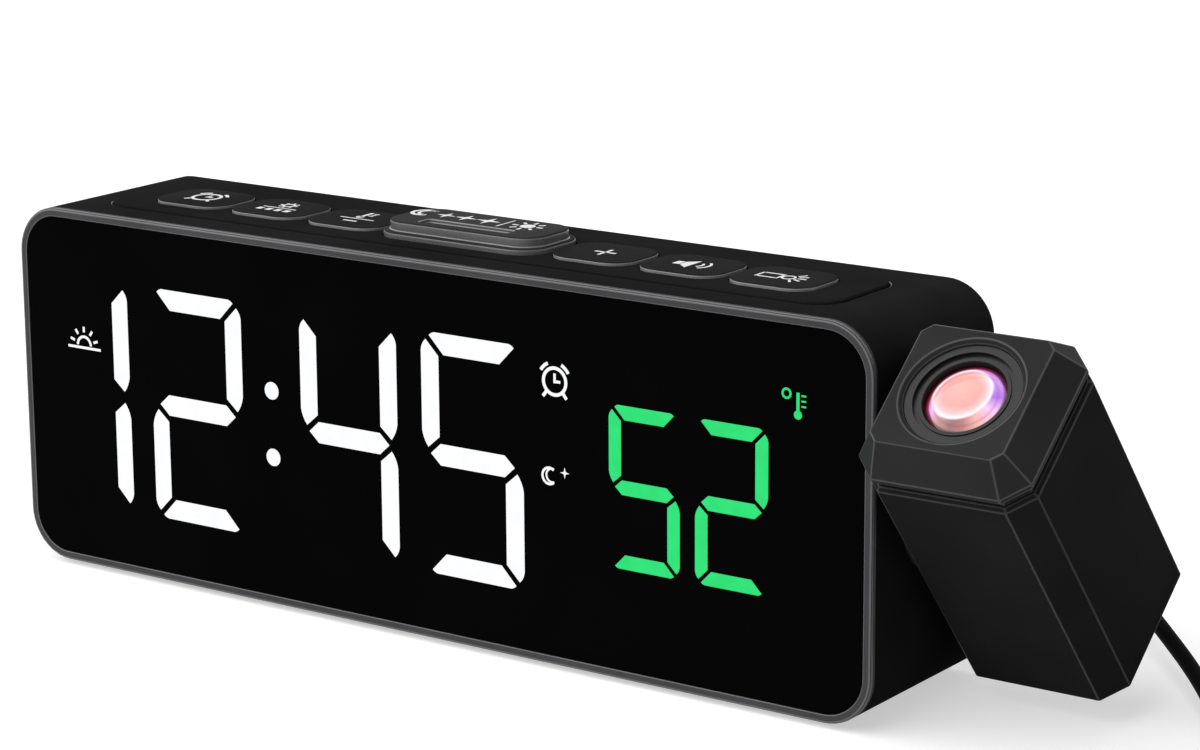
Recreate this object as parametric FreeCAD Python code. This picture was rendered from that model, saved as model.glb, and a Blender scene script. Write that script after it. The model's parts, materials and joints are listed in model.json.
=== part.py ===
import FreeCAD, Part
import math
import os

# Projection alarm clock: a long box with a seven-segment display, seven keys on
# top, a tilting projector on its right side and a thin supply lead behind it.
# Frame: origin at table level under the middle of the clock body, +X to the right
# along the display, -Y out of the display, +Z up. Sizes in millimetres.

V = FreeCAD.Vector
X_AXIS = V(1, 0, 0)
Y_AXIS = V(0, 1, 0)
Z_AXIS = V(0, 0, 1)

# Clock body
body_width = 195.0
body_depth = 41.0
body_height = 71.1
body_corner = 9.5
wall = 2.5
pad_width = 160.0
pad_depth = 24.0
pad_height = 1.0
pad_recess = 0.6
pad_corner = 4.0

# Front bezel and window
bezel_depth = 1.0
bezel_band = 1.7
bezel_edge = 0.3
bezel_step = 0.2
bezel_web = 1.0
bezel_web_width = 0.9
bezel_lip = 3.0
window_seat = 2.3
window_corner = 7.8
fit_gap = 0.1
slip_gap = 0.05

# Seven-segment digits, outlines measured from the middle of a digit
digit_half_width = 11.45
digit_half_height = 22.75
bar_width = 4.0
bar_inner_half = 6.3
bar_outer_half = 7.8
bar_tip_across = 9.55
bar_tip_up = 22.1
side_top_shoulder = 18.4
side_top_tip_across = 10.35
side_top_tip_up = 21.3
side_outer_top = 19.2
side_outer_bottom = 4.2
side_bottom_tip_across = 10.05
side_bottom_tip_up = 1.1
side_bottom_shoulder = 3.3
middle_half_width = 2.03
middle_tip = 9.5
middle_flat = 7.25
corner_bulge = 0.25
segment_depth = 2.5
time_digit_x = (-81.2, -52.45, -15.3, 13.35)
time_digits = "1245"
temperature_digit_x = (51.0, 69.2)
temperature_digits = "52"
temperature_scale = 0.656
colon_x = -33.84
colon_radius = 1.7
colon_rise = 6.47

# Display module behind the window
light_block_depth = 5.5
board_thickness = 1.6
board_margin = 1.0
led_length = 2.0
led_width = 1.2
led_height = 0.8
module_screw_x = (-66.8, -3.0, 34.0)
module_screw_edge = 3.55
module_screw_radius = 1.0
module_screw_length = 5.0
screw_head_radius = 1.9
screw_head_height = 1.3

# Keys on top
panel_end = 8.0
panel_depth = 24.4
panel_corner = 6.0
panel_rise = 0.5
panel_thickness = 2.0
panel_ledge = 2.0
panel_edge = 0.3
key_width = 17.6
key_depth = 14.8
key_corner = 5.0
key_rise = 0.6
key_spacing = 1.45
snooze_spacing = 1.3
key_edge = 0.35
key_gap = 0.2
key_travel = 0.4
tab_depth = 0.8
tab_height = 0.8
tab_inset = 1.0
stem_radius = 2.2
snooze_width = 37.0
snooze_depth = 18.0
snooze_corner = 6.0
snooze_flange_rise = 1.56
snooze_block_width = 35.0
snooze_block_depth = 15.0
snooze_block_corner = 5.0
snooze_rise = 3.4
snooze_edge = 0.5
snooze_travel = 0.8
groove_width = 20.0
groove_depth = 0.7
groove_span = 3.4
groove_y = -3.8
key_board_drop = 11.5
key_board_thickness = 1.2
key_board_end = 2.0
key_board_depth = 17.0
key_post_radius = 2.25
key_post_end = 4.5
key_post_y = 6.0
switch_size = 6.0
switch_height = 3.5
plunger_radius = 1.6
plunger_height = 1.5

# Rear cover and what it carries
cover_thickness = 2.5
cover_post_x = 86.0
cover_post_rise = 24.5
cover_post_radius = 3.4
cover_post_front = -11.0
cover_screw_radius = 1.3
cover_screw_length = 10.0
cover_head_radius = 2.3
cover_head_height = 1.4
cover_head_sink = 1.5
cover_head_cross = 0.3
speaker_x = 30.0
speaker_z = 40.0
speaker_radius = 14.0
speaker_frame_depth = 4.0
magnet_radius = 8.0
magnet_depth = 5.0
cone_depth = 3.0
frame_rim = 1.2
frame_seat = 1.0
cone_inset = 2.5
cone_sink = 0.5
cone_foot = 1.5
cone_flat = 0.8
cone_wall = 0.5
grille_hole = 0.8
grille_pitch = 3.4
grille_rings = 3
vent_width = 1.6
vent_length = 16.0
vent_pitch = 4.0
vent_count = 8
vent_x = -10.0
vent_z = 58.0
door_x = -57.0
door_z = 26.0
door_width = 28.0
door_height = 26.0
door_thickness = 1.2
door_gap = 0.2
door_corner = 2.0
door_ledge = 2.0
pull_depth = 0.5
pull_height = 2.0
pull_drop = 2.5
pull_corner = 0.9
cell_radius = 10.0
cell_height = 3.2
cell_holder_wall = 1.5
cell_gap = 0.15
cell_rear_gap = 0.2

# Boards and parts inside
main_board_width = 90.0
main_board_bottom = 10.0
main_board_drop = 4.1
main_board_edge = 5.0
chip_places = ((0, 24, 18, 12, 2.2), (-28, 27, 10, 6, 1.6), (26.5, 8, 9, 8, 1.6),
               (37, 20, 8, 8, 5.0))
can_places = ((-30, 8, 3.1, 7.5), (-20, 8, 2.5, 6.0), (14, 33, 1.6, 4.2))
thermistor_x = -38.0
thermistor_rise = 34.0
thermistor_reach = 6.0
thermistor_radius = 1.2
thermistor_lead = 0.4
spacer_length = 8.4
spacer_radius = 2.4
ribbon_width = 24.0
ribbon_thickness = 0.4
ribbon_rise = 20.0

# Supply inlet at the rear, with its plug
inlet_x = 72.0
inlet_z = 14.0
inlet_body_width = 10.0
inlet_body_height = 11.0
inlet_body_depth = 13.0
barrel_radius = 2.75
barrel_bore = 1.25
barrel_length = 9.0
pin_radius = 1.0
plug_body_radius = 4.2
plug_body_length = 11.6
relief_base_radius = 2.9
relief_tip_radius = 1.9
relief_length = 9.0
relief_grooves = 3
relief_groove_width = 0.9
relief_groove_pitch = 2.2
relief_groove_start = 2.0
plug_edge = 0.8

# Projector: square box with cut corners, tilted about the pivot
pivot_z = 36.5
tilt = 40.0
projector_gap = 2.0
projector_width = 32.3
projector_depth = 32.1
projector_chamfer = 4.17
projector_below = 27.6
projector_above = 27.6
projector_wall = 2.0
rim_edge = 0.7
base_edge = 0.4
neck_inset = 1.0
neck_height = 1.9
cap_band = 0.9
cap_height = 8.7
cap_top_inset = 3.7
cap_top_chamfer = 1.7
cap_spigot = 3.0
cap_bore = 10.25
cap_bore_edge = 0.7
cap_seat_rise = 1.2
cap_lower_bore = 8.6
focus_ring_sink = 1.0
focus_step = 0.7
focus_step_width = 0.75
lens_cell_radius = 8.0
lens_cell_length = 8.5
lens_cell_sink = 1.5
lens_radius = 7.3
lens_seat_lip = 0.7
lens_edge = 1.6
lens_crown = 1.4
running_gap = 0.05

# Pivot between clock body and projector
hub_flange_radius = 11.0
shaft_radius = 6.0
shaft_bore = 2.2
shaft_length = 9.0
pivot_boss_radius = 10.0
pivot_boss_length = 3.0
clip_width = 1.0
clip_groove = 0.8
clip_radius = 8.0
washer_thickness = 0.5
washer_radius = 9.0
hub_screw_radius = 1.0
hub_screw_circle = 4.1
hub_screw_length = 7.0
wire_radius = 1.5
wire_clearance = 1.2
wire_tail = 5.0

# Optics inside the projector
optic_side = 20.0
optic_wall = 1.5
optic_height = 41.0
projector_board_gap = 1.1
projector_board_chamfer = 3.0
projector_board_rise = 5.0
projector_post_radius = 1.8
projector_post_edge = 2.5
lamp_side = 5.0
lamp_height = 2.5
lamp_dome_height = 1.0
lamp_dome_inset = 0.5
condenser_radius = 8.0
condenser_rise = 8.0
condenser_edge = 1.6
condenser_crown = 2.4
lcd_side = 16.6
lcd_thickness = 1.6
lcd_rise = 16.0

# Supply lead: chosen route, coil and plug
cord_radius = 1.5
coil_x = 184.0
coil_y = 12.0
coil_mean_radius = 17.0
coil_pitch = 3.6
coil_layers = 4
coil_quarters = 10
climb_quarters = 2
last_quarters = 9
coil_lead = 3.0
tail_straight = 10.0
usb_relief = 8.0
usb_relief_base = 2.6
usb_body_length = 16.0
usb_body_width = 15.0
usb_body_height = 8.0
usb_shell_length = 12.0
usb_shell_width = 12.0
usb_shell_height = 4.5
usb_shell_wall = 0.3
usb_tongue = 1.9

front_y = -body_depth / 2
rear_y = body_depth / 2
side_x = body_width / 2
middle_z = pad_height + body_height / 2
top_z = pad_height + body_height


def block(x0, x1, y0, y1, z0, z1):
    return Part.makeBox(x1 - x0, y1 - y0, z1 - z0, V(x0, y0, z0))


def rounded(x0, x1, y0, y1, z0, z1, corner, along):
    """Block with its four edges along one axis rounded."""
    solid = block(x0, x1, y0, y1, z0, z1)
    edges = [e for e in solid.Edges if abs(e.tangentAt(e.FirstParameter).dot(along)) > 0.99]
    return solid.makeFillet(corner, edges)


def front_plate(width, height, corner, y0, y1):
    """Rounded plate parallel to the display, about the display's middle."""
    return rounded(-width / 2, width / 2, y0, y1,
                   middle_z - height / 2, middle_z + height / 2, corner, Y_AXIS)


def top_plate(x_mid, width, depth, corner, z0, z1):
    """Rounded plate parallel to the table."""
    return rounded(x_mid - width / 2, x_mid + width / 2, -depth / 2, depth / 2,
                   z0, z1, corner, Z_AXIS)


def rod(point, direction, radius, length):
    return Part.makeCylinder(radius, length, point, direction)


def ring(point, direction, outer, inner, length):
    return rod(point, direction, outer, length).cut(rod(point, direction, inner, length))


def edges_at(solid, axis, value):
    """Edges that lie in the plane where this coordinate has this value."""
    picked = []
    for edge in solid.Edges:
        box = edge.BoundBox
        low = (box.XMin, box.YMin, box.ZMin)[axis]
        high = (box.XMax, box.YMax, box.ZMax)[axis]
        if abs(low - value) < 1e-4 and abs(high - value) < 1e-4:
            picked.append(edge)
    return picked


def joined(solids):
    whole = solids[0]
    for solid in solids[1:]:
        whole = whole.fuse(solid)
    return whole.removeSplitter()


def save(name, shape):
    if isinstance(shape, (list, tuple)):
        shape = Part.makeCompound(list(shape))
    shape.exportStep("parts/" + name + ".step")
    count = len(shape.Solids)
    print(name, "solids", count, "volume", round(sum(s.Volume for s in shape.Solids), 2))


# Digit outlines

def bent_outline(points, bulges):
    """Closed outline of straight lines, with an arc where a bulge point is given."""
    edges = []
    for i, start in enumerate(points):
        end = points[(i + 1) % len(points)]
        if i in bulges:
            edges.append(Part.Arc(start, bulges[i], end).toShape())
        else:
            edges.append(Part.LineSegment(start, end).toShape())
    return Part.Wire(edges)


def top_bar():
    inner = digit_half_height - bar_width
    right = V(bar_tip_across, 0, bar_tip_up)
    left = V(-bar_tip_across, 0, bar_tip_up)
    upper_right = V(bar_outer_half, 0, digit_half_height)
    upper_left = V(-bar_outer_half, 0, digit_half_height)
    points = [V(-bar_inner_half, 0, inner), V(bar_inner_half, 0, inner),
              right, upper_right, upper_left, left]
    lift = V(0, 0, corner_bulge)
    return bent_outline(points, {2: (right + upper_right) / 2 + lift,
                                 4: (left + upper_left) / 2 + lift})


def side_bar():
    inner = digit_half_width - bar_width
    tip = V(side_top_tip_across, 0, side_top_tip_up)
    shoulder = V(digit_half_width, 0, side_outer_top)
    foot = V(digit_half_width, 0, side_outer_bottom)
    low_tip = V(side_bottom_tip_across, 0, side_bottom_tip_up)
    points = [V(inner, 0, side_top_shoulder), tip, shoulder, foot, low_tip,
              V(inner, 0, side_bottom_shoulder)]
    push = V(corner_bulge, 0, 0)
    return bent_outline(points, {1: (tip + shoulder) / 2 + push,
                                 3: (foot + low_tip) / 2 + push})


def middle_bar():
    points = [V(-middle_tip, 0, 0), V(-middle_flat, 0, middle_half_width),
              V(middle_flat, 0, middle_half_width), V(middle_tip, 0, 0),
              V(middle_flat, 0, -middle_half_width), V(-middle_flat, 0, -middle_half_width)]
    return bent_outline(points, {})


SEGMENT_SHAPES = {"a": (top_bar, False, False), "b": (side_bar, False, False),
                  "c": (side_bar, False, True), "d": (top_bar, False, True),
                  "e": (side_bar, True, True), "f": (side_bar, True, False),
                  "g": (middle_bar, False, False)}
LIT_SEGMENTS = {"1": "bc", "2": "abged", "4": "fgbc", "5": "afgcd"}


def segment(letter, x_mid, scale, y0, depth):
    """One bar of a digit as a solid that runs back from y0."""
    make, flip_x, flip_z = SEGMENT_SHAPES[letter]
    face = Part.Face(make())
    if flip_x:
        face = face.mirror(V(0, 0, 0), X_AXIS)
    if flip_z:
        face = face.mirror(V(0, 0, 0), Z_AXIS)
    face = face.scaled(scale, V(0, 0, 0))
    face.translate(V(x_mid, y0, middle_z))
    return face.extrude(V(0, depth, 0))


def digit_bars(positions, digits, scale, y0, depth):
    """Lit and unlit bars of a row of digits."""
    lit = []
    unlit = []
    for x_mid, digit in zip(positions, digits):
        for letter in SEGMENT_SHAPES:
            bar = segment(letter, x_mid, scale, y0, depth)
            if letter in LIT_SEGMENTS[digit]:
                lit.append(bar)
            else:
                unlit.append(bar)
    return lit, unlit


def colon_rods(y0, depth):
    return [rod(V(colon_x, y0, middle_z + rise), Y_AXIS, colon_radius, depth)
            for rise in (colon_rise, -colon_rise)]


# Display: bars of light in a black window, light block, board and lamps

window_width = body_width - 2 * bezel_band
window_height = body_height - 2 * bezel_band
case_front = front_y + bezel_depth
block_front = case_front
block_rear = block_front + light_block_depth
display_board_rear = block_rear + board_thickness
web_width = body_width - 2 * bezel_web_width
web_height = body_height - 2 * bezel_web_width
web_rear = case_front + bezel_web
cavity_width = body_width - 2 * wall
cavity_height = body_height - 2 * wall
cavity_corner = body_corner - wall
opening_width = window_width - 2 * window_seat
opening_height = window_height - 2 * window_seat
opening_corner = window_corner - window_seat
lip_rear = web_rear + bezel_lip
module_screw_rise = opening_height / 2 - module_screw_edge


def make_display():
    time_lit, time_unlit = digit_bars(time_digit_x, time_digits, 1.0, front_y, segment_depth)
    temp_lit, temp_unlit = digit_bars(temperature_digit_x, temperature_digits,
                                      temperature_scale, front_y, segment_depth)
    dots = colon_rods(front_y, segment_depth)
    bars = Part.makeCompound(time_lit + time_unlit + temp_lit + temp_unlit + dots)
    window = front_plate(window_width - 2 * slip_gap, window_height - 2 * slip_gap,
                         window_corner - slip_gap, front_y, case_front).cut(bars)

    wells = []
    for positions, digits, scale in ((time_digit_x, time_digits, 1.0),
                                     (temperature_digit_x, temperature_digits,
                                      temperature_scale)):
        lit, unlit = digit_bars(positions, digits, scale, block_front, light_block_depth)
        wells += lit + unlit
    wells += colon_rods(block_front, light_block_depth)
    block_body = front_plate(opening_width - 2 * fit_gap, opening_height - 2 * fit_gap,
                             opening_corner - fit_gap, block_front, block_rear)
    block_body = block_body.cut(Part.makeCompound(wells))
    board = front_plate(opening_width - 2 * board_margin, opening_height - 2 * board_margin,
                        opening_corner - board_margin, block_rear, display_board_rear)
    screws = []
    for x in module_screw_x:
        for rise in (module_screw_rise, -module_screw_rise):
            seat = V(x, display_board_rear, middle_z + rise)
            head = rod(seat, Y_AXIS, screw_head_radius, screw_head_height)
            shank = rod(seat, -Y_AXIS, module_screw_radius, module_screw_length)
            screws.append(head.fuse(shank).removeSplitter())
            hole = rod(seat, -Y_AXIS, module_screw_radius + slip_gap,
                       module_screw_length + slip_gap)
            block_body = block_body.cut(hole)
            board = board.cut(hole)

    lamps = []
    for well in wells:
        box = well.BoundBox
        x = box.Center.x
        z = box.Center.z
        wide = box.XLength > box.ZLength
        half_x = (led_length if wide else led_width) / 2
        half_z = (led_width if wide else led_length) / 2
        lamps.append(block(x - half_x, x + half_x, block_rear - led_height, block_rear,
                           z - half_z, z + half_z))
    save("display_window", window)
    save("time_segments_lit", time_lit)
    save("time_segments_unlit", time_unlit)
    save("colon_dots", dots)
    save("temperature_segments_lit", temp_lit)
    save("temperature_segments_unlit", temp_unlit)
    save("light_block", block_body)
    save("display_board", board)
    save("display_lamps", lamps)
    save("display_screws", screws)


def make_bezel():
    """Thin grey frame: a front band, a web the window seats on, and a lip in the case."""
    band = front_plate(body_width, body_height, body_corner, front_y, case_front)
    band = band.makeChamfer(bezel_edge, edges_at(band, 1, front_y))
    band = band.makeChamfer(bezel_step, edges_at(band, 1, case_front))
    band = band.cut(front_plate(window_width, window_height, window_corner,
                                front_y, case_front))
    opening = front_plate(opening_width, opening_height, opening_corner, case_front, lip_rear)
    web = front_plate(web_width, web_height, body_corner - bezel_web_width,
                      case_front, web_rear)
    lip = front_plate(cavity_width - 2 * fit_gap, cavity_height - 2 * fit_gap,
                      cavity_corner - fit_gap, web_rear, lip_rear)
    save("front_bezel", band.fuse(web).fuse(lip).cut(opening).removeSplitter())


# Case sleeve, pad and rear cover

panel_top = top_z + panel_rise
panel_bottom = panel_top - panel_thickness
key_pitch = key_width + key_spacing
first_key_x = snooze_width / 2 + snooze_spacing + key_width / 2
panel_width = 2 * (first_key_x + 2 * key_pitch + key_width / 2 + panel_end)
key_post_x = panel_width / 2 - key_post_end
key_board_width = panel_width - 2 * key_board_end
cover_front = rear_y - cover_thickness
cover_posts = [(x, middle_z + rise) for x in (-cover_post_x, cover_post_x)
               for rise in (-cover_post_rise, cover_post_rise)]


def make_case():
    sleeve = front_plate(body_width, body_height, body_corner, case_front, rear_y)
    sleeve = sleeve.cut(front_plate(cavity_width, cavity_height, cavity_corner,
                                    case_front, rear_y))
    rebate = front_plate(web_width + 2 * fit_gap, web_height + 2 * fit_gap,
                         body_corner - bezel_web_width + fit_gap, case_front,
                         web_rear + fit_gap)
    sleeve = sleeve.cut(rebate)
    pocket = top_plate(0, panel_width + 2 * fit_gap, panel_depth + 2 * fit_gap,
                       panel_corner + fit_gap, panel_bottom, top_z + 1)
    opening = top_plate(0, panel_width - 2 * panel_ledge, panel_depth - 2 * panel_ledge,
                        panel_corner - panel_ledge, top_z - wall - 1, panel_bottom + 1)
    sleeve = sleeve.cut(pocket).cut(opening)
    sleeve = sleeve.cut(top_plate(0, pad_width + 2 * fit_gap, pad_depth + 2 * fit_gap,
                                  pad_corner + fit_gap, 0, pad_height + pad_recess))
    cavity_side = cavity_width / 2
    for x, z in cover_posts:
        post = rod(V(x, cover_post_front, z), Y_AXIS, cover_post_radius,
                   cover_front - cover_post_front)
        side = 1 if x > 0 else -1
        reach = sorted((x, side * (cavity_side + wall / 2)))
        rib = block(reach[0], reach[1], cover_post_front, cover_front, z - 1, z + 1)
        sleeve = sleeve.fuse(post).fuse(rib)
        sleeve = sleeve.cut(rod(V(x, cover_front, z), -Y_AXIS,
                                cover_screw_radius + slip_gap, cover_screw_length))
    boss = rod(V(cavity_side + wall / 2, 0, pivot_z), -X_AXIS, pivot_boss_radius,
               pivot_boss_length + wall / 2)
    bore = rod(V(side_x + 1, 0, pivot_z), -X_AXIS, shaft_radius + running_gap,
               wall + pivot_boss_length + 2)
    save("main_case", sleeve.fuse(boss).cut(bore).removeSplitter())
    save("anti_slip_pad", top_plate(0, pad_width, pad_depth, pad_corner, 0,
                                    pad_height + pad_recess))


def grille_places():
    places = [(speaker_x, speaker_z)]
    for ring_number in range(1, grille_rings + 1):
        count = 6 * ring_number
        for i in range(count):
            turn = 2 * math.pi * i / count
            reach = grille_pitch * ring_number
            places.append((speaker_x + reach * math.cos(turn),
                           speaker_z + reach * math.sin(turn)))
    return places


def make_rear():
    cover = front_plate(cavity_width - 2 * fit_gap, cavity_height - 2 * fit_gap,
                        cavity_corner - fit_gap, cover_front, rear_y)
    holes = [rod(V(x, cover_front - 1, z), Y_AXIS, grille_hole, cover_thickness + 2)
             for x, z in grille_places()]
    for i in range(vent_count):
        x = vent_x + (i - (vent_count - 1) / 2) * vent_pitch
        holes.append(rounded(x - vent_width / 2, x + vent_width / 2, cover_front - 1,
                             rear_y + 1, vent_z - vent_length / 2, vent_z + vent_length / 2,
                             vent_width / 2 - 0.01, Y_AXIS))
    screws = []
    for x, z in cover_posts:
        seat = V(x, rear_y - cover_head_sink, z)
        holes.append(rod(seat, Y_AXIS, cover_head_radius + 4 * slip_gap,
                         cover_head_sink + 1))
        holes.append(rod(V(x, cover_front - 1, z), Y_AXIS,
                         cover_screw_radius + 2 * slip_gap, cover_thickness + 1))
        head = rod(seat, Y_AXIS, cover_head_radius, cover_head_height)
        slot_half = cover_head_radius * 0.6
        slot_y = seat.y + cover_head_height / 2
        cross = block(x - slot_half, x + slot_half, slot_y, rear_y,
                      z - cover_head_cross, z + cover_head_cross)
        cross = cross.fuse(block(x - cover_head_cross, x + cover_head_cross, slot_y,
                                 rear_y, z - slot_half, z + slot_half))
        shank = rod(seat, -Y_AXIS, cover_screw_radius, cover_screw_length)
        screws.append(head.cut(cross).fuse(shank).removeSplitter())
    holes.append(rod(V(inlet_x, cover_front - 1, inlet_z), Y_AXIS,
                     plug_body_radius + fit_gap, cover_thickness + 2))
    door_left = door_x - door_width / 2
    door_right = door_x + door_width / 2
    door_low = door_z - door_height / 2
    door_high = door_z + door_height / 2
    door_front = rear_y - door_thickness
    holes.append(rounded(door_left - door_gap, door_right + door_gap, door_front,
                         rear_y + 1, door_low - door_gap, door_high + door_gap,
                         door_corner + door_gap, Y_AXIS))
    holes.append(block(door_left + door_ledge, door_right - door_ledge, cover_front - 1,
                       rear_y, door_low + door_ledge, door_high - door_ledge))
    cover = cover.cut(Part.makeCompound(holes))
    door = rounded(door_left, door_right, door_front + slip_gap, rear_y,
                   door_low, door_high, door_corner, Y_AXIS)
    pull_top = door_high - pull_drop
    pull = rounded(door_x - door_width / 4, door_x + door_width / 4, rear_y - pull_depth,
                   rear_y + pull_depth, pull_top - pull_height, pull_top, pull_corner,
                   Y_AXIS)
    door = door.cut(pull)
    save("rear_cover", cover)
    save("case_screws", screws)
    save("battery_door", door)

    holder_reach = cell_radius + cell_gap + cell_holder_wall
    cell_rear = cover_front - cell_rear_gap
    cell_front = cell_rear - cell_height
    holder = block(door_x - holder_reach, door_x + holder_reach,
                   cell_front - cell_holder_wall, cover_front,
                   door_z - holder_reach, door_z + holder_reach)
    holder = holder.cut(rod(V(door_x, cell_front, door_z), Y_AXIS,
                            cell_radius + cell_gap, cell_height + 1))
    save("cell_holder", holder)
    save("backup_cell", rod(V(door_x, cell_front, door_z), Y_AXIS, cell_radius,
                            cell_height))


def make_speaker():
    seat = V(speaker_x, cover_front, speaker_z)
    frame_front = cover_front - speaker_frame_depth
    frame = rod(seat, -Y_AXIS, speaker_radius, speaker_frame_depth)
    hollow = Part.makeCone(speaker_radius - frame_rim, magnet_radius - frame_seat,
                           cone_depth, seat, -Y_AXIS)
    frame = frame.cut(hollow)
    rim = V(speaker_x, cover_front - cone_sink, speaker_z)
    outer = speaker_radius - cone_inset
    foot = magnet_radius - cone_foot
    depth = cone_depth - cone_flat
    cone = Part.makeCone(outer, foot, depth, rim, -Y_AXIS)
    cone = cone.cut(Part.makeCone(outer - cone_wall, foot - cone_wall, depth - cone_wall,
                                  rim, -Y_AXIS))
    save("speaker_frame", frame)
    save("speaker_cone", cone)
    save("speaker_magnet", rod(V(speaker_x, frame_front, speaker_z), -Y_AXIS,
                               magnet_radius, magnet_depth))


def make_inlet():
    """Socket behind the cover, with the plug of the lead pushed home."""
    rear = cover_front - fit_gap
    body = block(inlet_x - inlet_body_width / 2, inlet_x + inlet_body_width / 2,
                 rear - inlet_body_depth, rear, inlet_z - inlet_body_height / 2,
                 inlet_z + inlet_body_height / 2)
    tip = V(inlet_x, rear - barrel_length, inlet_z)
    body = body.cut(rod(tip, Y_AXIS, barrel_radius + fit_gap, barrel_length))
    pin = rod(tip, Y_AXIS, pin_radius, barrel_length - 2)
    save("power_socket", body.fuse(pin).removeSplitter())
    barrel_start = V(inlet_x, tip.y + fit_gap, inlet_z)
    plug_front = rear
    save("inlet_plug", ring(barrel_start, Y_AXIS, barrel_radius, barrel_bore,
                            plug_front - barrel_start.y))
    plug = rod(V(inlet_x, plug_front, inlet_z), Y_AXIS, plug_body_radius,
               relief_start_y - plug_front)
    plug = plug.makeFillet(plug_edge, edges_at(plug, 1, relief_start_y))
    relief = Part.makeCone(relief_base_radius, relief_tip_radius, relief_length,
                           V(inlet_x, relief_start_y, inlet_z), Y_AXIS)
    for i in range(relief_grooves):
        y = relief_start_y + relief_groove_start + relief_groove_pitch * i
        relief = relief.cut(ring(V(inlet_x, y, inlet_z), Y_AXIS, relief_base_radius,
                                 relief_tip_radius - fit_gap, relief_groove_width))
    save("inlet_plug_body", plug.fuse(relief).removeSplitter())


# Keys, snooze bar, their panel, board and switches

key_board_top = panel_bottom - key_board_drop + key_board_thickness
plunger_top = key_board_top + switch_height + plunger_height
tab_top = panel_bottom - slip_gap
tab_bottom = tab_top - tab_height
KEY_NAMES = ("alarm_key", "set_key", "minus_key", "plus_key", "volume_key", "projector_key")
key_x = [-first_key_x - 2 * key_pitch, -first_key_x - key_pitch, -first_key_x,
         first_key_x, first_key_x + key_pitch, first_key_x + 2 * key_pitch]


def key_feet(x, width, depth, travel):
    """Retaining tabs under the panel and the stem that presses the switch."""
    tabs = block(x - width / 2 + tab_inset, x + width / 2 - tab_inset,
                 -depth / 2 - tab_depth, depth / 2 + tab_depth, tab_bottom, tab_top)
    stem_bottom = plunger_top + travel + slip_gap
    stem = rod(V(x, 0, stem_bottom), Z_AXIS, stem_radius, tab_bottom - stem_bottom)
    return tabs.fuse(stem)


def make_keys():
    panel = top_plate(0, panel_width, panel_depth, panel_corner, panel_bottom, panel_top)
    panel = panel.makeChamfer(panel_edge, edges_at(panel, 2, panel_top))
    for name, x in zip(KEY_NAMES, key_x):
        cap = top_plate(x, key_width, key_depth, key_corner, tab_bottom,
                        panel_top + key_rise)
        cap = cap.makeFillet(key_edge, edges_at(cap, 2, panel_top + key_rise))
        feet = key_feet(x, key_width, key_depth, key_travel)
        save(name, cap.fuse(feet).removeSplitter())
        panel = panel.cut(top_plate(x, key_width + 2 * key_gap, key_depth + 2 * key_gap,
                                    key_corner + key_gap, panel_bottom - 1, panel_top + 1))
    panel = panel.cut(top_plate(0, snooze_width + 2 * key_gap, snooze_depth + 2 * key_gap,
                                snooze_corner + key_gap, panel_bottom - 1, panel_top + 1))
    for x in (-key_post_x, key_post_x):
        for y in (-key_post_y, key_post_y):
            panel = panel.fuse(rod(V(x, y, key_board_top), Z_AXIS, key_post_radius,
                                   panel_bottom - key_board_top + 0.5))
    save("key_panel", panel.removeSplitter())

    flange_top = top_z + snooze_flange_rise
    bar_top = top_z + snooze_rise
    flange = top_plate(0, snooze_width, snooze_depth, snooze_corner, tab_bottom, flange_top)
    flange = flange.makeFillet(snooze_edge, edges_at(flange, 2, flange_top))
    bar = top_plate(0, snooze_block_width, snooze_block_depth, snooze_block_corner,
                    tab_bottom, bar_top)
    bar = bar.makeFillet(snooze_edge, edges_at(bar, 2, bar_top))
    groove = rounded(-groove_width / 2, groove_width / 2, groove_y - groove_span / 2,
                     groove_y + groove_span / 2, bar_top - groove_depth, bar_top + 1,
                     groove_depth, Z_AXIS)
    feet = key_feet(0, snooze_width, snooze_depth, snooze_travel)
    save("snooze_bar", flange.fuse(bar).fuse(feet).cut(groove).removeSplitter())

    board = block(-key_board_width / 2, key_board_width / 2, -key_board_depth / 2,
                  key_board_depth / 2, key_board_top - key_board_thickness, key_board_top)
    save("key_board", board)
    switches = []
    for x in key_x + [0]:
        half = switch_size / 2
        body = block(x - half, x + half, -half, half, key_board_top,
                     key_board_top + switch_height)
        plunger = rod(V(x, 0, key_board_top + switch_height), Z_AXIS, plunger_radius,
                      plunger_height)
        switches.append(body.fuse(plunger).removeSplitter())
    save("tact_switches", switches)


def make_main_board():
    front = display_board_rear + spacer_length
    rear = front + board_thickness
    half = main_board_width / 2
    top = key_board_top - key_board_thickness - main_board_drop
    save("main_board", block(-half, half, front, rear, main_board_bottom, top))
    spacers = []
    for x in (-half + main_board_edge, half - main_board_edge):
        for z in (main_board_bottom + main_board_edge, top - main_board_edge):
            spacers.append(rod(V(x, display_board_rear, z), Y_AXIS, spacer_radius,
                               spacer_length))
    save("board_spacers", spacers)
    parts = []
    for x, rise, width, height, depth in chip_places:
        z = main_board_bottom + rise
        parts.append(block(x - width / 2, x + width / 2, rear, rear + depth,
                           z - height / 2, z + height / 2))
    for x, rise, radius, length in can_places:
        parts.append(rod(V(x, rear, main_board_bottom + rise), Y_AXIS, radius, length))
    save("board_parts", parts)
    ribbon_z = main_board_bottom + ribbon_rise
    save("ribbon_cable", block(-ribbon_width / 2, ribbon_width / 2, display_board_rear,
                               front, ribbon_z, ribbon_z + ribbon_thickness))
    bead = V(thermistor_x, rear + thermistor_reach, main_board_bottom + thermistor_rise)
    lead = rod(V(bead.x, rear, bead.z), Y_AXIS, thermistor_lead, thermistor_reach)
    save("thermistor", Part.makeSphere(thermistor_radius, bead).fuse(lead).removeSplitter())


# Projector, built upright with its pivot at the origin, then tilted

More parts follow.
